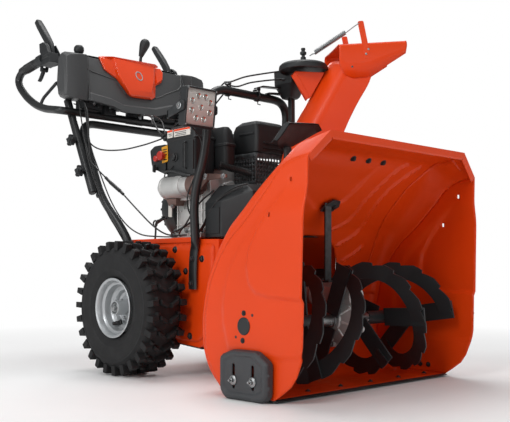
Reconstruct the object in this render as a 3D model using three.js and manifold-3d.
// Two stage snowblower, in millimetres. +Z is up, the intake faces -Y, the operator stands at +Y.
// Every shape is drawn about the intake: x = 0 is the machine's middle and y = 0 the front edge of the
// side plates. The root group then moves the whole machine so its box is centred on the origin.
// "left" and "right" are the operator's: left is +X, right is -X.
import * as THREE from "three";
import { ConvexGeometry } from "three/addons/geometries/ConvexGeometry.js";
import { mergeVertices } from "three/addons/utils/BufferGeometryUtils.js";
import Module from "manifold-3d";

const wasm = await Module();
wasm.setup();

// ---- driving dimensions ----
const GAP = 0.35; // clearance left between neighbouring parts
const SHEET = 3; // sheet metal thickness of the housing
const HALF_WIDTH = 343; // outer face of a side plate
const RIDGE_X = 277; // where the roof's corner chamfer ends
const AUGER = { y: 199, z: 167, r: 150, tube: 17, shaft: 10 };
const IMPELLER = { z: 228, r: 158, shaft: 9.5 };
const DRUM = { r: 168, wall: 3, rear: 482 };
const CHUTE = { x: 85, y: 398, r: 75, heading: -34, base: 455 }; // heading: degrees of the throw from +X
const WHEEL = { y: 771, r: 190.5, x: 253, bead: 78.5 };
const ENGINE = { z: 484, deck: 389.5 };
const TUBE_R = 12.5;
const PULLEY_Y = [502, 520];

// side plate outline, (y, z)
const SIDE = [
  [0, 545], [50, 541], [119, 523], [177, 490], [228, 452], [278, 401], [312, 348], [343, 284],
  [363, 195], [364, 163], [357, 108], [332, 61], [298, 28], [266, 8], [112, 3], [55, 41],
  [21, 102], [13, 230],
];
const ROOF = [[-10, 606], [15, 601], [94, 582]]; // ridge of the roof, (y, z)
const HANDLE_SLOPE = 0.49; // rearward travel of the handle tubes per unit of height
const handleY = (z) => 990 + HANDLE_SLOPE * (z - 550);

// ---- materials ----
const paint = (color, roughness, metalness = 0) =>
  new THREE.MeshStandardMaterial({ color, roughness, metalness });
const ORANGE = paint(0xe8501c, 0.35, 0.1);
const GLOSS_ORANGE = paint(0xea4c10, 0.18);
const BLACK_STEEL = paint(0x2a2a2a, 0.45, 0.3);
const BLACK_PLASTIC = paint(0x262626, 0.6);
const GREY_PLASTIC = paint(0x424242, 0.55);
const SKID_GREY = paint(0x464849, 0.6);
const RUBBER = paint(0x2b2b2b, 0.9);
const RIM_SILVER = paint(0xa9acad, 0.35, 0.7);
const CAST_ALUMINIUM = paint(0xb4b2ae, 0.45, 0.8);
const STEEL = paint(0x9a9a9a, 0.3, 0.9);
const LENS = paint(0x8a7a6e, 0.2);
const RED = paint(0xc8281c, 0.35);

// ---- shape helpers ----
const V = (x, y, z) => new THREE.Vector3(x, y, z);
const both = (make) => [-1, 1].map(make);

// a three.js geometry as a closed solid with its faces outward
function solid(geometry) {
  for (const name of ["normal", "uv"]) geometry.deleteAttribute(name);
  const merged = mergeVertices(geometry, 1e-4);
  const triVerts = new Uint32Array(merged.index.array);
  const make = () =>
    new wasm.Manifold(
      new wasm.Mesh({ numProp: 3, vertProperties: merged.attributes.position.array, triVerts }),
    );
  const made = make();
  if (made.volume() > 0) return made;
  for (let i = 0; i < triVerts.length; i += 3)
    [triVerts[i + 1], triVerts[i + 2]] = [triVerts[i + 2], triVerts[i + 1]];
  return make();
}

const join = (...solids) => solids.flat().reduce((a, b) => a.add(b));
const cut = (base, ...solids) => solids.flat().reduce((a, b) => a.subtract(b), base);

function box(x0, x1, y0, y1, z0, z1) {
  const g = new THREE.BoxGeometry(Math.abs(x1 - x0), y1 - y0, z1 - z0);
  return solid(g.translate((x0 + x1) / 2, (y0 + y1) / 2, (z0 + z1) / 2));
}

// turns a shape built along +Y so that it lies along the named axis
function along(g, axis) {
  if (axis === "x") g.rotateZ(-Math.PI / 2);
  if (axis === "z") g.rotateX(Math.PI / 2);
  return g;
}

// offset of an axis line: (y, z) for x, (x, z) for y, (x, y) for z
function placed(g, axis, a, b) {
  if (axis === "x") return g.translate(0, a, b);
  return axis === "y" ? g.translate(a, 0, b) : g.translate(a, b, 0);
}

function rod(axis, r, from, to, a, b, sides = 24, endR = r) {
  const g = new THREE.CylinderGeometry(endR, r, to - from, sides).translate(0, (from + to) / 2, 0);
  return solid(placed(along(g, axis), axis, a, b));
}

// closed profile of [radius, distance along the axis]
function turned(axis, profile, a, b, sides = 32) {
  const points = [...profile, profile[0]].map(([r, h]) => new THREE.Vector2(r, h));
  return solid(placed(along(new THREE.LatheGeometry(points, sides), axis), axis, a, b));
}

// outline in the plane across the axis, extruded from one place on the axis to another
function prism(axis, outline, from, to) {
  const shape = new THREE.Shape(outline.map(([u, v]) => new THREE.Vector2(u, v)));
  const g = new THREE.ExtrudeGeometry(shape, { depth: to - from, bevelEnabled: false });
  const turn = new THREE.Matrix4();
  if (axis === "x") turn.makeBasis(V(0, 1, 0), V(0, 0, 1), V(1, 0, 0)).setPosition(from, 0, 0);
  if (axis === "y") turn.makeBasis(V(1, 0, 0), V(0, 0, 1), V(0, -1, 0)).setPosition(0, to, 0);
  if (axis === "z") turn.setPosition(0, 0, from);
  return solid(g.applyMatrix4(turn));
}

const hull = (points) => solid(new ConvexGeometry(points.map((p) => V(...p))));

function ball(r, x, y, z, squash = 1) {
  return solid(new THREE.SphereGeometry(r, 10, 6).scale(1, 1, squash).translate(x, y, z));
}

// a path that visits its points one by one, with mitred corners
class RoutedPath extends THREE.Curve {
  constructor(points) {
    super();
    this.points = points;
  }
  getUtoTmapping(u) {
    return u;
  }
  leg(i) {
    const last = this.points.length - 2;
    const k = Math.min(Math.max(i, 0), last);
    return this.points[k + 1].clone().sub(this.points[k]).normalize();
  }
  getPoint(t, target = new THREE.Vector3()) {
    const s = t * (this.points.length - 1);
    const i = Math.min(Math.floor(s), this.points.length - 2);
    return target.lerpVectors(this.points[i], this.points[i + 1], s - i);
  }
  getTangent(t, target = new THREE.Vector3()) {
    const s = Math.round(t * (this.points.length - 1));
    return target.copy(this.leg(s - 1)).add(this.leg(s)).normalize();
  }
}

// replaces each inner corner of a route with a bend of about the given radius
function bent(route, radius, steps = 2) {
  const points = route.map((p) => V(...p));
  const out = [points[0]];
  for (let i = 1; i < points.length - 1; i++) {
    const [a, b, c] = [points[i - 1], points[i], points[i + 1]];
    const reach = Math.min(radius, a.distanceTo(b) / 2.05, b.distanceTo(c) / 2.05);
    const start = b.clone().add(a.clone().sub(b).setLength(reach));
    const end = b.clone().add(c.clone().sub(b).setLength(reach));
    const bend = new THREE.QuadraticBezierCurve3(start, b, end);
    for (let k = 0; k <= steps; k++) out.push(bend.getPoint(k / steps));
  }
  return [...out, points.at(-1)];
}

function tube(route, r, bendRadius = 60, sides = 8) {
  const path = new RoutedPath(bent(route, bendRadius));
  const ring = new THREE.Shape().absarc(0, 0, r, 0, Math.PI * 2);
  return solid(
    new THREE.ExtrudeGeometry(ring, {
      steps: path.points.length - 1,
      curveSegments: sides / 2,
      extrudePath: path,
      bevelEnabled: false,
    }),
  );
}

// moves each corner of a convex outline inward by about d
function inset(outline, d) {
  const middle = (k) => outline.reduce((sum, point) => sum + point[k], 0) / outline.length;
  const centre = [middle(0), middle(1)];
  return outline.map(([u, v], i) => {
    const [pu, pv] = outline.at(i - 1);
    const [nu, nv] = outline[(i + 1) % outline.length];
    let [du, dv] = [-(nv - pv), nu - pu];
    const length = Math.hypot(du, dv);
    const sign = (centre[0] - u) * du + (centre[1] - v) * dv > 0 ? d / length : -d / length;
    return [u + du * sign, v + dv * sign];
  });
}

const mirrored = (points) => points.flatMap(([x, y, z]) => [[x, y, z], [-x, y, z]]);

// ---- intake housing ----
const WRAP = SIDE.map(([y, z]) => [y, Math.max(z, 8)]);

function bucketSolid(d) {
  const walls = (d ? inset(WRAP, d) : WRAP).map(([y, z]) => [HALF_WIDTH, y, z]);
  const ridge = ROOF.map(([y, z]) => [RIDGE_X - d / 2, y - d / 3, z - d]);
  // the inner solid runs out past the open front
  const out = [[HALF_WIDTH, -90, 545 - d], [HALF_WIDTH, -90, 8 + d], [RIDGE_X - d / 2, -90, 612]];
  return hull(mirrored([...walls, ...ridge, ...(d ? out : [])]));
}

function augerHousing() {
  const x = HALF_WIDTH - SHEET - GAP;
  const inner = bucketSolid(SHEET);
  const wrap = cut(bucketSolid(0), inner, box(-400, 400, -100, 112, -10, 400))
    .intersect(box(-x, x, -100, 500, 0, 700));
  const drum = cut(rod("y", DRUM.r, 230, DRUM.rear, 0, IMPELLER.z, 36), inner);
  const collar = join(
    rod("z", CHUTE.r + 4, 262, CHUTE.base - 4, CHUTE.x, CHUTE.y, 24),
    rod("z", CHUTE.r + 17, CHUTE.base - 8, CHUTE.base - 4, CHUTE.x, CHUTE.y, 24),
  );
  return cut(
    join(wrap, drum, cut(collar, inner)),
    rod("y", DRUM.r - DRUM.wall, 180, DRUM.rear - DRUM.wall, 0, IMPELLER.z, 36),
    rod("z", CHUTE.r, 266, CHUTE.base, CHUTE.x, CHUTE.y, 24),
    rod("y", IMPELLER.shaft + 1, 470, 490, 0, IMPELLER.z),
  );
}

function sidePlate(s) {
  const plate = prism("x", SIDE, HALF_WIDTH - SHEET, HALF_WIDTH);
  const holes = [
    rod("x", AUGER.shaft + 1, 300, 360, AUGER.y, AUGER.z),
    box(300, 360, 69, 75, 471, 481),
    box(300, 360, 120, 126, 373, 383),
  ];
  const made = cut(plate, ...holes);
  return s > 0 ? made : made.mirror([1, 0, 0]);
}

function scraperBar() {
  return prism("x", [[106, 3.2], [168, 3.2], [168, 7.5], [106, 7.5], [98, 5.5]], -339, 339);
}

function skidShoe(s) {
  const outline = [[266, 100], [207, 115], [135, 111], [93, 91], [96, 6], [104, 0], [254, 0], [266, 11]];
  const [inner, outer] = [HALF_WIDTH + GAP, 370];
  const slots = [220, 156].flatMap((y) => [
    box(inner, outer + 5, y - 5, y + 5, 38, 76),
    rod("x", 5, inner, outer + 5, y, 38, 12),
    rod("x", 5, inner, outer + 5, y, 76, 12),
  ]);
  const pocket = prism("x", inset(outline, 7), inner - 1, outer - 6);
  const made = cut(prism("x", outline, inner, outer), pocket, ...slots);
  return s > 0 ? made : made.mirror([1, 0, 0]);
}

function bearingCap(s) {
  const x = HALF_WIDTH + GAP;
  const flange = hull([
    ...both((k) => [x, AUGER.y - 9, AUGER.z + 38 * k]), ...both((k) => [x, AUGER.y + 9, AUGER.z + 38 * k]),
    ...both((k) => [x + 3, AUGER.y - 9, AUGER.z + 38 * k]),
    ...both((k) => [x + 3, AUGER.y + 9, AUGER.z + 38 * k]),
    ...both((k) => [x, AUGER.y + 24 * k, AUGER.z]), ...both((k) => [x + 3, AUGER.y + 24 * k, AUGER.z]),
  ]);
  const cap = join(flange, rod("x", 21, x, x + 10, AUGER.y, AUGER.z, 18, 18));
  const made = cut(cap, rod("x", AUGER.shaft + 1, x - 1, x + 5, AUGER.y, AUGER.z));
  return s > 0 ? made : made.mirror([1, 0, 0]);
}

// ---- augers, gearbox and impeller ----

// one flat ribbon wound about the auger shaft with a saw-toothed rim, from x0 to x1
function ribbon(x0, x1, start, turn, width = 40, thick = 4, steps = 18) {
  const corner = (i, r, side) => {
    const t = i / steps;
    const a = start + t * turn;
    const reach = r > AUGER.r - 1 ? r - (i % 3 === 2 ? 9 : 0) - (i % 3 === 1 ? 3 : 0) : r;
    const x = x0 + (x1 - x0) * t + (side * thick) / 2;
    return V(x, AUGER.y + reach * Math.cos(a), AUGER.z + reach * Math.sin(a));
  };
  const ring = (i) => [
    corner(i, AUGER.r, -1), corner(i, AUGER.r, 1),
    corner(i, AUGER.r - width, 1), corner(i, AUGER.r - width, -1),
  ];
  return loft(Array.from({ length: steps + 1 }, (_, i) => ring(i)));
}

// a flat arm from the auger tube out to the ribbon
function arm(x, angle, half = 17, lean = 0) {
  const g = new THREE.BoxGeometry(6, AUGER.r - 20, 2 * half).translate(0, (AUGER.r - 20) / 2 + 8, 0);
  g.rotateY(lean).rotateX(angle).translate(x, AUGER.y, AUGER.z);
  return solid(g);
}

function auger(s) {
  const [inner, outer] = [52, 322];
  const made = [rod("x", AUGER.tube, 34, 334, AUGER.y, AUGER.z, 20)];
  for (const k of [0, 1]) {
    const start = Math.PI * k + 0.5;
    const turn = Math.PI * 1.15;
    made.push(ribbon(inner + 8, outer - 8, start, turn));
    made.push(arm(inner + 12, start + 0.06, 20, 0.5), arm((inner + outer) / 2, start + turn / 2, 20, 0.5));
    made.push(arm(outer - 14, start + turn - 0.08, 16, 0.5));
  }
  const bored = cut(join(made), rod("x", AUGER.shaft + GAP, 0, 340, AUGER.y, AUGER.z));
  return s > 0 ? bored : bored.mirror([1, 0, 0]);
}

const augerShaft = () => rod("x", AUGER.shaft, -346, 346, AUGER.y, AUGER.z, 20);

function wormWheel() {
  const teeth = 14;
  const outline = [];
  for (let i = 0; i < teeth * 2; i++) {
    const r = i % 2 ? 46 : 41;
    const a = (i / (teeth * 2)) * Math.PI * 2;
    outline.push([AUGER.y + r * Math.cos(a), AUGER.z + r * Math.sin(a)]);
  }
  return cut(
    join(prism("x", outline, -9, 9), rod("x", 16, -13, 13, AUGER.y, AUGER.z, 20)),
    rod("x", AUGER.shaft + GAP, -20, 20, AUGER.y, AUGER.z, 20),
  );
}

function gearboxCase() {
  const shell = join(
    rod("x", 60, -20, 20, AUGER.y, AUGER.z, 28), rod("x", 26, -32, 32, AUGER.y, AUGER.z, 16),
    rod("y", 27, 142, 298, 0, IMPELLER.z, 20), rod("y", 22, 298, 318, 0, IMPELLER.z, 16),
    box(-15, 15, 225, 262, 228, 262),
    [-1, 0, 1].map((k) => {
      const a = -Math.PI / 2 + k * 1.1;
      return rod("x", 9, -12, 12, AUGER.y + 60 * Math.cos(a), AUGER.z + 60 * Math.sin(a), 8);
    }),
  );
  return cut(
    shell,
    rod("x", 50, -14, 14, AUGER.y, AUGER.z, 20), rod("y", 17, 150, 290, 0, IMPELLER.z, 14),
    rod("x", AUGER.shaft + 1, -40, 40, AUGER.y, AUGER.z, 14),
    rod("y", IMPELLER.shaft + 1, 280, 330, 0, IMPELLER.z, 14),
  );
}

function impellerShaft() {
  const r = IMPELLER.shaft;
  const profile = [[0, 156], [r, 156], [r, 176], [14.4, 180], [14.4, 222], [r, 226], [r, 530], [0, 530]];
  return turned("y", profile, 0, IMPELLER.z, 20);
}

function impeller() {
  const blades = [0, 1, 2, 3].map((k) => {
    const outline = [[8, -2.5], [IMPELLER.r - 12, -2.5], [IMPELLER.r, 16], [IMPELLER.r - 4, 19],
      [IMPELLER.r - 16, 2.5], [8, 2.5]];
    return prism("y", outline, 352, 462).rotate([0, -90 * k - 20, 0]);
  });
  const fan = join(rod("y", 26, 350, 470, 0, 0, 24), rod("y", 70, 464, 468, 0, 0, 24), blades);
  return cut(fan, rod("y", IMPELLER.shaft + GAP, 300, 480, 0, 0, 20)).translate(0, 0, IMPELLER.z);
}

function gearboxBrace() {
  const strip = [[236, 263], [241, 263], [207, 452], [170, 486], [166, 482], [202, 450]];
  const bar = join(prism("x", strip, -12, 12), box(-12, 12, 228, 250, 262 + GAP, 267 + GAP));
  return bar.intersect(bucketSolid(SHEET + 0.6));
}

// profile of a grooved pulley, as [radius, y]
function pulley(r, bore) {
  const [a, b] = PULLEY_Y;
  return [[bore, a], [r, a], [r, a + 3], [r - 9, a + 6], [r - 9, b - 6], [r, b - 3], [r, b], [bore, b]];
}

const augerPulley = () => turned("y", pulley(88, IMPELLER.shaft + GAP), 0, IMPELLER.z, 24);

// the small pulley is one piece with the end of the crankshaft that carries it
function enginePulley() {
  const [a, b] = PULLEY_Y;
  const groove = pulley(36, 12).slice(1, -1);
  const profile = [[0, a - 6], [12, a - 6], [12, a], ...groove, [12, b], [12, 573], [0, 573]];
  return turned("y", profile, 0, ENGINE.z, 20);
}

function driveBelt() {
  const loop = (grow) => {
    const points = [];
    for (const [r, z, from] of [[88, IMPELLER.z, Math.PI], [36, ENGINE.z, 0]]) {
      for (let k = 0; k <= 14; k++) {
        const a = from + (k / 14) * Math.PI;
        points.push([(r - 9 + grow) * Math.cos(a), z + (r - 9 + grow) * Math.sin(a)]);
      }
    }
    return points;
  };
  const [a, b] = PULLEY_Y;
  return cut(prism("y", loop(8), a + 6 + GAP, b - 6 - GAP), prism("y", loop(2.8), a, b));
}

// ---- discharge chute, drawn in its own frame: +X is the throw, z is height ----
const CHUTE_HALF = 75;

// back wall of the channel as [throw, height], from the ring upward
const SPINE = [[-74, 470], [-72, 560], [-50, 650], [-20, 714], [18, 782], [52, 845], [80, 892]];
const MOUTH = [[74, 470], [75, 560], [82, 640], [97, 690], [128, 757], [160, 815], [172, 850]];

// the channel's cross-sections: a round back and two straight side walls that end at the open mouth
function channelRings(shrink, over, lift) {
  const half = CHUTE_HALF - shrink;
  return SPINE.map(([s, z], i) => {
    const [ms, mz] = MOUTH[i];
    const up = i === SPINE.length - 1 ? lift : 0;
    const back = [];
    for (let k = 0; k <= 8; k++) {
      const a = Math.PI / 2 + (k / 8) * Math.PI;
      const depth = (1 - Math.abs(Math.cos(a))) / 2;
      back.push(V(s + shrink + (ms - s) * depth, half * Math.sin(a), z + up + (mz - z) * depth));
    }
    return [...back, V(ms + over, -half, mz + up), V(ms + over, half, mz + up)];
  });
}

// skins a run of rings that all have the same number of points, and closes both ends
function loft(rings) {
  const corners = [];
  const n = rings[0].length;
  for (let i = 0; i < rings.length - 1; i++) {
    for (let k = 0; k < n; k++) {
      const [a, b] = [rings[i][k], rings[i][(k + 1) % n]];
      const [c, d] = [rings[i + 1][(k + 1) % n], rings[i + 1][k]];
      corners.push(a, b, c, a, c, d);
    }
  }
  const [first, last] = [rings[0], rings.at(-1)];
  for (let k = 1; k < n - 1; k++) {
    corners.push(first[0], first[k + 1], first[k], last[0], last[k], last[k + 1]);
  }
  return solid(new THREE.BufferGeometry().setFromPoints(corners));
}

// from the chute's own frame to the machine's
const aimed = (made) => made.rotate([0, 0, CHUTE.heading]).translate(CHUTE.x, CHUTE.y, 0);

function chute() {
  const round = join(
    rod("z", CHUTE.r, CHUTE.base, 548, 0, 0, 24),
    rod("z", CHUTE.r + 17, CHUTE.base, CHUTE.base + 4, 0, 0, 24),
  );
  const bore = rod("z", CHUTE.r - SHEET, CHUTE.base - 5, 560, 0, 0, 24);
  const passage = loft(channelRings(SHEET, 60, 12)).subtract(box(-90, 160, -90, 90, 440, 540));
  const bracket = cut(
    prism("y", [[-34, 860], [66, 860], [52, 815], [16, 770], [2, 775]], -27, 27),
    prism("y", [[-28, 857], [90, 857], [60, 800], [15, 776], [5, 778]], -40, 24),
    loft(channelRings(1, 60, 0)),
  );
  const disc = rod("z", 20, 858, 867, 0, 0, 20);
  return aimed(join(cut(join(round, loft(channelRings(0, 0, 0))), bore, passage), bracket, disc));
}

function chuteDeflector() {
  const side = [[84, 930], [288, 947], [280, 912], [187, 848], [125, 838], [100, 846], [89, 868]];
  const [inner, outer] = [CHUTE_HALF + 1, CHUTE_HALF + 4];
  const shell = cut(
    prism("y", side, -outer, outer),
    prism("y", [[70, 927], [96, 928], [300, 944], [300, 820], [70, 820]], -inner, inner),
  );
  const straps = both((s) =>
    prism("y", [[145, 999], [157, 999], [174, 912], [162, 912]], outer, outer + 3)
      .mirror(s > 0 ? [0, 0, 0] : [0, 1, 0]),
  );
  return aimed(join(shell, straps));
}

function chuteRing() {
  const [low, high] = [CHUTE.base - 13, CHUTE.base + 12];
  const [bore, groove, rim] = [CHUTE.r + 5, CHUTE.r + 18, CHUTE.r + 23];
  const profile = [[bore, low], [rim, low], [rim, high], [bore, high], [bore, high - 6],
    [groove, high - 6], [groove, low + 4], [bore, low + 4]];
  return turned("z", profile, CHUTE.x, CHUTE.y, 24);
}

function chutePost() {
  return join(box(128, 144, 486, 502, 382, 816), box(120, 152, 487, 506, 381.2, 385));
}

function chuteGearHead() {
  const cap = turned("z", [[0, 868], [60, 868], [62, 870], [62, 884], [54, 891], [0, 896]],
    CHUTE.x, CHUTE.y, 24);
  const stud = join(rod("z", 7, 894, 914, CHUTE.x, CHUTE.y, 12), rod("z", 4, 910, 934, CHUTE.x, CHUTE.y, 10));
  const funnel = hull([
    [76, 448, 888], [134, 448, 888], [86, 520, 882], [146, 520, 882], [76, 454, 846], [134, 454, 846],
    [92, 522, 838], [146, 522, 838], [112, 474, 812], [152, 474, 812], [112, 514, 812], [152, 514, 812],
  ]);
  const strap = prism("x", [[500, 818], [552, 818], [552, 823], [500, 823]], 104, 124);
  return cut(join(cap, stud, funnel, strap), box(128 - GAP, 144 + GAP, 480, 502 + GAP, 800, 816 + GAP));
}

function deflectorSpring() {
  const [a, b] = [V(CHUTE.x, CHUTE.y, 940), V(CHUTE.x + 72, CHUTE.y - 128, 992)];
  const at = (t) => a.clone().lerp(b, t).toArray();
  return join(tube([at(0.12), at(0.8)], 6.5, 1, 12), tube([at(0.0), at(1)], 1.6, 1, 8));
}

function cleanoutTool() {
  const blade = cut(
    hull([
      [-148, 296, 628], [-106, 275, 679], [6, 275, 689], [26, 281, 674], [-84, 300, 618],
      [-140, 306, 624], [-100, 334, 620], [-46, 334, 620], [-104, 322, 668], [2, 293, 672],
    ]),
    hull([
      [-142, 302, 634], [-104, 279, 684], [4, 279, 694], [20, 285, 679], [-84, 304, 624],
      [-130, 312, 634], [-98, 345, 640], [-48, 345, 640], [-100, 345, 690], [-20, 330, 690],
    ]),
  );
  return join(blade, rod("z", 11, 388, 622, -71, 315, 14), rod("z", 15, 388, 402, -71, 315, 14));
}

// ---- chassis, wheels ----
function chassisFrame() {
  const side = [[486, 380], [850, 389], [890, 389], [890, 240], [820, 150], [672, 92], [566, 83], [486, 120]];
  const outer = prism("x", side, -165, 165);
  const inner = prism("x", inset(side, SHEET), -165 + SHEET, 165 - SHEET);
  const bosses = both((s) => rod("x", 24, s > 0 ? 150 : -164, s > 0 ? 164 : -150, WHEEL.y, WHEEL.r, 20));
  return cut(
    join(cut(outer, inner), bosses),
    box(-150, 150, 580, 700, 60, 120),
    box(-115, 115, 494, 528, 370, 400),
    rod("y", IMPELLER.shaft + 3, 480, 495, 0, IMPELLER.z),
    rod("x", 10.5, -200, 200, WHEEL.y, WHEEL.r),
  );
}

function bottomCover() {
  return prism("x", [[574, 76], [690, 86], [690, 92], [684, 89], [574, 79.5]], -148, 148);
}

function beltCover() {
  const skin = (d) =>
    hull(mirrored([
      [150 - d, 490, 386 - 4 * d], [150 - d, 559 + 9 * d, 386 - 4 * d],
      [150 - d, 490, 483 - d], [150 - d, 559 + 9 * d, 483 - d],
      [98 - d / 2, 452 + d, 534 - d], [98 - d / 2, 559 + 9 * d, 534 - d],
      [100 - d / 2, 417 + d, 386 - 4 * d], [98 - d / 2, 420 + d, 512 - d],
    ]));
  const deck = prism("x", [[485, 300], [485, 380.5], [570, 382.7], [570, 300]], -170, 170);
  const legs = box(-200, 200, 540, 570, 380, 384.5);
  const scallop = (r) => rod("z", r, 300, 600, CHUTE.x, CHUTE.y, 24);
  return cut(skin(0), cut(skin(3), scallop(CHUTE.r + 36)), scallop(CHUTE.r + 33),
    rod("y", DRUM.r + 3, 300, 490, 0, IMPELLER.z, 24), deck, legs, box(116, 156, 468, 508, 370, 540));
}

// one wheel and its half of the axle, built on the left and mirrored for the right
function wheelParts(s) {
  const x = WHEEL.x;
  const at = (profile) => profile.map(([r, h]) => [r, x + h]);
  const bead = WHEEL.bead - 1;
  const rim = turned("x", at([
    [10, -40], [24, -40], [24, 6], [bead - 4, 14], [bead - 4, -50], [88, -55], [88, -58],
    [bead, -53], [bead, 53], [88, 58], [88, 55], [bead - 4, 50], [bead - 4, 19], [24, 11],
    [24, 46], [10, 46],
  ]), WHEEL.y, WHEEL.r, 23);
  const b = WHEEL.bead;
  const carcass = turned("x", at([
    [b, -42], [94, -52], [130, -60], [162, -54], [174, -38], [174, 38], [162, 54], [130, 60],
    [94, 52], [b, 42], [127, 49], [160, 36], [160, -36], [127, -49],
  ]), WHEEL.y, WHEEL.r, 20);
  const lugs = [];
  const count = 10;
  for (let i = 0; i < count * 2; i++) {
    const half = i % 2 ? 1 : -1;
    const g = new THREE.BoxGeometry(40, 21, 24).translate(0, 0, WHEEL.r - 12.6);
    g.applyMatrix4(new THREE.Matrix4().makeShear(0, 0, 0.42 * half, 0, 0, 0));
    g.translate(half * 31, 0, 0).rotateX((i / (count * 2)) * Math.PI * 2);
    lugs.push(solid(g.translate(x, WHEEL.y, WHEEL.r)));
  }
  const axle = rod("x", 9.6, 8, 312, WHEEL.y, WHEEL.r, 20);
  const placedOn = (made) => (s > 0 ? made : made.mirror([1, 0, 0]));
  return { rim: placedOn(rim), tyre: placedOn(join(carcass, lugs)), axle: placedOn(axle) };
}

// ---- hoop, headlight, handles ----
function supportHoopSolid(grow = 0) {
  const leg = (s) => [
    [s * 179, 578, 250], [s * 179, 566, 352], [s * 179, 575, 503], [s * 158, 548, 620],
    [s * 158, 533, 806],
  ];
  return tube([...leg(-1), ...leg(1).reverse()], TUBE_R + grow, 58);
}

const supportHoop = () => supportHoopSolid();

const LIGHT = { x: -245, y: 475, z: 728, half: 53 };

// the lamp leans back a little about its own middle
const tilted = (made) =>
  made.translate(-LIGHT.x, -LIGHT.y, -LIGHT.z).rotate([7, 0, 0]).translate(LIGHT.x, LIGHT.y, LIGHT.z);

function headlightHousing() {
  const { x, y, z, half } = LIGHT;
  const c = 9;
  const frame = prism("y", [[x - half, z - half + c], [x - half + c, z - half], [x + half - c, z - half],
    [x + half, z - half + c], [x + half, z + half - c], [x + half - c, z + half],
    [x - half + c, z + half], [x - half, z + half - c]], y - 10, y + 16);
  const fins = [-4, -3, -2, -1, 0, 1, 2, 3, 4].map((k) =>
    box(x - 42, x + 42, y + 15, y + 38, z + k * 10 - 2, z + k * 10 + 2));
  const pocket = box(x - 46, x + 46, y - 12, y - 4, z - 46, z + 46);
  return tilted(cut(join(frame, fins), pocket));
}

function headlightLens() {
  const { x, y, z } = LIGHT;
  return tilted(box(x - 45.6, x + 45.6, y - 8, y - 4.4, z - 45.6, z + 45.6));
}

function headlightBracket() {
  const { x, y, z, half } = LIGHT;
  const near = x + half + 2;
  return cut(
    join(
      prism("x", [[y - 6, z - 12], [y + 50, z - 30], [y + 78, z - 30], [y + 78, z - 5], [y + 50, z - 5],
        [y - 6, z + 12]], near, near + 4),
      box(near, -158, y + 40, y + 78, z - 22, z - 12),
      rod("z", TUBE_R + 4, z - 30, z - 4, -158, 539.5, 16),
    ),
    supportHoopSolid(GAP),
  );
}

function lowerHandle() {
  const leg = (s) => [
    [s * 179.5, 871, 252], [s * 179.5, 871, 375], [s * 192, 905, 432], [s * 215, handleY(520), 520],
    [s * 215, handleY(772), 772],
  ];
  return tube([...leg(-1), ...leg(1).reverse()], TUBE_R, 55);
}

const LOOP = [[1205, 987], [1286, 977], [1346, 969], [1373, 946], [1358, 916], [1309, 874],
  [1249, 840], [1191, 820], [1099, 803]];

const handleLegs = (r) =>
  both((s) => tube([[s * 241, handleY(535), 535], [s * 241, handleY(845), 845]], r, 1));

function upperHandle() {
  const side = (s) => [[s * 289, 1160, 991], ...LOOP.map(([y, z]) => [s * 289, y, z])];
  return join(handleLegs(TUBE_R), tube([...side(-1), ...side(1).reverse()], TUBE_R, 24));
}

// ---- console and controls ----
function consoleBase() {
  const skin = (d) =>
    hull(mirrored([
      [290 - d, 1053 + d, 845 - 6 * d], [290 - d, 1118 - d, 855 - 8 * d], [290 - d, 1138 - d, 906],
      [290 - d, 1146 - d, 989 - d], [290 - d, 1122, 995 - d], [290 - d, 1080 + d, 993 - d],
      [214 - d, 1058 + d, 845 - 6 * d], [214 - d, 1168 - d, 855 - 8 * d], [200 - d, 1210 - d, 925],
      [200 - d, 1212 - d, 985 - d], [200 - d, 1113, 1000 - d],
    ]));
  const recess = (grow) =>
    prism("x", [[1000, 1030], [1126.5 + grow, 1030], [1054 + grow, 862], [1050 + grow, 800], [1000, 800]],
      -212 - grow, 212 + grow);
  const chin = cut(
    hull([[-67, 1036, 830], [62, 1036, 830], [-80, 1060, 866], [75, 1060, 866], [-67, 1060, 816],
      [62, 1060, 816], [-90, 1110, 870], [85, 1110, 870], [-67, 1110, 822], [62, 1110, 822]]),
    hull([[-62, 1041, 832], [57, 1041, 832], [-75, 1064, 880], [70, 1064, 880], [-62, 1062, 812],
      [57, 1062, 812], [-85, 1120, 880], [80, 1120, 880], [-62, 1120, 812], [57, 1120, 812]]),
  );
  const shrouds = both((s) => box(s * 259, s * 305, 1128, 1228, 964, 1014));
  const shell = cut(skin(0), recess(0), cut(skin(3), recess(3)));
  return cut(
    join(shell, cut(shrouds[0], skin(3)), cut(shrouds[1], skin(3)), chin),
    both((s) => rod("y", TUBE_R + GAP + 0.6, 1150, 1300, s * 289, 991, 20)),
    box(57, 75, 1112, 1188, 960, 1030),
    rod("z", 20, 960, 1020, -191, 1150, 20),
    upperHandleClearance(),
  );
}

function upperHandleClearance() {
  const side = (s) => [[s * 289, 1150, 992], ...LOOP.map(([y, z]) => [s * 289, y, z])];
  return join(handleLegs(TUBE_R + 1.5), both((s) => tube(side(s), TUBE_R + GAP + 0.6, 24)));
}

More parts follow.
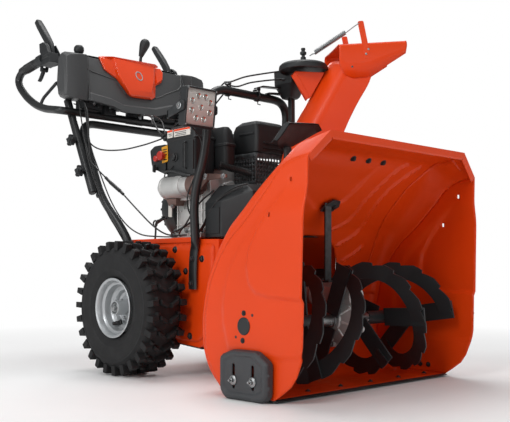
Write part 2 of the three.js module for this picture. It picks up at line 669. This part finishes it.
function consoleCover() {
  // the panel leans with the console's front face and stands a little proud of it
  const shape = [
    [-140, 1000], [96, 1000], [84, 968], [66, 925], [44, 874], [-50, 870], [-92, 932], [-130, 958],
  ];
  const faceY = (z) => 1054 + ((z - 862) * 57) / 132;
  const front = (x, z) => [x * 0.94, faceY(z) - 17, z + 4];
  const back = (x, z) => [x, faceY(z) - 0.6, z];
  const slab = (a, b, c) => hull([...[a, b, c].flatMap((i) => [front(...shape[i]), back(...shape[i])])]);
  const fans = [[0, 1, 2], [0, 2, 3], [0, 3, 6], [3, 4, 5], [3, 5, 6], [0, 6, 7]];
  const top = hull([[-134, 1098, 1001], [90, 1098, 1001], [-134, 1104, 1008], [90, 1104, 1008],
    [-124, 1138, 1006], [48, 1138, 1006], [-124, 1138, 1001], [48, 1138, 1001]]);
  return cut(join(fans.map((f) => slab(...f)), top), box(54, 78, 1090, 1200, 960, 1100));
}

// lever blade standing behind the console, on a hub the hinge runs through
function gripLever(s) {
  const x = [s * 238, s * 255];
  // a crosswise edge of the blade, widened by a on the inner side and b on the outer
  const edge = (a, b, y, z) => [[x[0] - s * a, y, z], [x[1] + s * b, y, z]];
  const waist = [...edge(2, 2, 1248, 1051), ...edge(2, 2, 1270, 1043)];
  const blade = hull([...edge(0, 0, 1222, 1004), ...edge(0, 0, 1236, 996), ...waist]);
  const paddle = hull([...waist, ...edge(3, 4, 1312, 1152), ...edge(3, 4, 1330, 1144)]);
  const hub = rod("x", 13, Math.min(...x), Math.max(...x) + (s > 0 ? 2 : 0), 1226, 1000, 20);
  return join(blade, paddle, hub);
}

function steeringTrigger(s) {
  const x = [s * 262, s * 276];
  return hull([
    ...x.flatMap((v) => [[v, 1230, 962], [v, 1242, 960], [v, 1260, 926], [v, 1271, 930]]),
  ]);
}

function speedLever() {
  return join(
    rod("x", 8, 58, 74, 1150, 950, 16), rod("z", 5, 950, 1082, 66, 1150, 12),
    ball(15, 66, 1150, 1094, 1.25),
  );
}

function chuteLever() {
  const [x, y] = [-191, 1150];
  return join(ball(9, x, y, 972), rod("z", 5, 972, 1015, x, y, 12), ball(17, x, y, 1026, 0.85));
}

// ---- engine ----
function crankcase() {
  const block = mirrored([
    [95, 612, 400], [95, 768, 400], [95, 612, 560], [95, 768, 560], [70, 620, 596], [70, 760, 596],
  ]);
  return join(
    hull(block),
    box(-112, 112, 622, 758, ENGINE.deck + GAP, 404),
    rod("y", 58, 577, 620, 0, ENGINE.z, 28),
  );
}

function cylinderHead() {
  const fins = [0, 1, 2, 3, 4, 5, 6].map((k) => box(97 + k * 12, 101 + k * 12, 606, 752, 416, 566));
  return join(box(95.4, 178, 622, 736, 432, 550), fins, box(174, 196, 616, 742, 424, 556));
}

function recoilStarter() {
  const profile = [[0, 769], [94, 769], [94, 812], [84, 838], [56, 846], [0, 848]];
  return turned("y", profile, 0, ENGINE.z, 24);
}

function starterHandle() {
  return join(
    rod("x", 8, 38, 92, 861, 566, 14), rod("y", 5, 849, 862, 65, 566, 10),
  );
}

function fuelTank() {
  const corners = mirrored([
    [105, 640, 612], [105, 846, 612], [110, 636, 640], [110, 850, 640],
    [108, 640, 690], [108, 846, 690], [88, 655, 716], [88, 830, 716],
  ]);
  return hull(corners.map(([x, y, z]) => [x + 42, y, z]));
}

function fuelCap() {
  const profile = [[0, 716.4], [27, 716.4], [31, 722], [31, 738], [26, 742], [0, 744]];
  return turned("z", profile, 60, 770, 16);
}

function muffler() {
  return hull([[6, 510, 608], [136, 510, 608], [6, 608, 608], [136, 608, 608], [2, 506, 690],
    [140, 506, 690], [2, 612, 700], [140, 612, 700], [20, 522, 722], [122, 522, 722], [20, 600, 726],
    [122, 600, 726]]);
}

function carburettorBox() {
  const hood = hull([[-150, 604, 566], [-72, 604, 566], [-150, 732, 566], [-72, 732, 566],
    [-150, 604, 700], [-72, 604, 715], [-150, 732, 700], [-72, 732, 715], [-138, 612, 722],
    [-80, 612, 722], [-138, 724, 722], [-80, 724, 722]]);
  const panel = hull([[-152, 738, 563], [-90, 738, 563], [-152, 812, 590], [-90, 812, 590],
    [-152, 812, 660], [-90, 812, 660], [-152, 738, 668], [-90, 738, 668]]);
  const made = join(hood, panel, box(-140, -92, 728, 742, 590, 650));
  return cut(made, box(-96, 0, 590, 780, 500, 600));
}

function stopSwitch() {
  const profile = [[0, -152.4], [9, -152.4], [9, -160], [14, -163], [14, -170], [0, -172]];
  return turned("x", profile, 775, 628, 12);
}

const chokeKnob = () =>
  join(rod("x", 5, -162, -152.4, 775, 598, 12), box(-168, -160, 771, 779, 586, 610));

function starterMotor() {
  const profile = [[0, 622], [26, 622], [34, 632], [34, 742], [28, 752], [16, 778], [0, 780]];
  return join(
    turned("y", profile, -132, 527, 18),
    box(-120, -95.5, 640, 700, 480, 540),
  );
}

// ---- assembly ----
const root = new THREE.Group();
root.name = "snowblower";

function group(name, entries, parent = root) {
  const g = new THREE.Group();
  g.name = name + "_group";
  for (const [label, made, material] of entries) {
    const { vertProperties, triVerts } = made.getMesh();
    const geometry = new THREE.BufferGeometry();
    geometry.setAttribute("position", new THREE.BufferAttribute(vertProperties, 3));
    geometry.setIndex(new THREE.BufferAttribute(triVerts, 1));
    geometry.computeVertexNormals();
    const mesh = new THREE.Mesh(geometry, material);
    mesh.name = label;
    g.add(mesh);
  }
  parent.add(g);
  return g;
}

const wheel = { left: wheelParts(1), right: wheelParts(-1) };

group("intake", [
  ["auger_housing", augerHousing(), ORANGE],
  ["side_plate_left", sidePlate(1), ORANGE],
  ["side_plate_right", sidePlate(-1), ORANGE],
  ["scraper_bar", scraperBar(), BLACK_STEEL],
  ["skid_shoe_left", skidShoe(1), SKID_GREY],
  ["skid_shoe_right", skidShoe(-1), SKID_GREY],
  ["bearing_cap_left", bearingCap(1), BLACK_STEEL],
  ["bearing_cap_right", bearingCap(-1), BLACK_STEEL],
  ["gearbox_case", gearboxCase(), CAST_ALUMINIUM],
  ["gearbox_brace", gearboxBrace(), BLACK_STEEL],
  ["cleanout_tool", cleanoutTool(), BLACK_PLASTIC],
]);
group("auger_rotor", [
  ["auger_shaft", augerShaft(), STEEL],
  ["auger_left", auger(1), BLACK_STEEL],
  ["auger_right", auger(-1), BLACK_STEEL],
  ["worm_wheel", wormWheel(), STEEL],
]);
group("impeller_rotor", [
  ["impeller_shaft", impellerShaft(), STEEL],
  ["impeller", impeller(), BLACK_STEEL],
  ["auger_pulley", augerPulley(), STEEL],
]);
group("discharge", [
  ["chute", chute(), ORANGE],
  ["chute_deflector", chuteDeflector(), ORANGE],
  ["chute_ring", chuteRing(), BLACK_PLASTIC],
  ["chute_post", chutePost(), BLACK_STEEL],
  ["chute_gear_head", chuteGearHead(), BLACK_PLASTIC],
  ["deflector_spring", deflectorSpring(), STEEL],
]);
group("chassis", [
  ["chassis_frame", chassisFrame(), ORANGE],
  ["bottom_cover", bottomCover(), BLACK_STEEL],
  ["belt_cover", beltCover(), BLACK_PLASTIC],
  ["drive_belt", driveBelt(), RUBBER],
  ["support_hoop", supportHoop(), BLACK_STEEL],
]);
for (const side of ["left", "right"]) {
  group("wheel_" + side, [
    ["axle_" + side, wheel[side].axle, STEEL],
    ["rim_" + side, wheel[side].rim, RIM_SILVER],
    ["tyre_" + side, wheel[side].tyre, RUBBER],
  ]);
}
group("headlight", [
  ["headlight_housing", headlightHousing(), BLACK_PLASTIC],
  ["headlight_lens", headlightLens(), LENS],
  ["headlight_bracket", headlightBracket(), BLACK_STEEL],
]);
group("engine", [
  ["crankcase", crankcase(), CAST_ALUMINIUM],
  ["cylinder_head", cylinderHead(), CAST_ALUMINIUM],
  ["engine_pulley", enginePulley(), STEEL],
  ["recoil_starter", recoilStarter(), BLACK_PLASTIC],
  ["starter_handle", starterHandle(), BLACK_PLASTIC],
  ["fuel_tank", fuelTank(), BLACK_PLASTIC],
  ["fuel_cap", fuelCap(), BLACK_PLASTIC],
  ["muffler", muffler(), BLACK_STEEL],
  ["carburettor_box", carburettorBox(), BLACK_PLASTIC],
  ["stop_switch", stopSwitch(), RED],
  ["choke_knob", chokeKnob(), BLACK_PLASTIC],
  ["starter_motor", starterMotor(), CAST_ALUMINIUM],
]);
group("handles", [
  ["lower_handle", lowerHandle(), BLACK_STEEL],
  ["upper_handle", upperHandle(), BLACK_STEEL],
  ["console_base", consoleBase(), GREY_PLASTIC],
  ["console_cover", consoleCover(), GLOSS_ORANGE],
  ["drive_lever", gripLever(1), BLACK_PLASTIC],
  ["auger_lever", gripLever(-1), BLACK_PLASTIC],
  ["steering_trigger_left", steeringTrigger(1), BLACK_PLASTIC],
  ["steering_trigger_right", steeringTrigger(-1), BLACK_PLASTIC],
  ["speed_lever", speedLever(), BLACK_PLASTIC],
  ["chute_lever", chuteLever(), BLACK_PLASTIC],
]);

const bounds = new THREE.Box3().setFromObject(root);
root.position.set(0, -Math.round((bounds.min.y + bounds.max.y) * 500) / 1000, 0);

export default root;
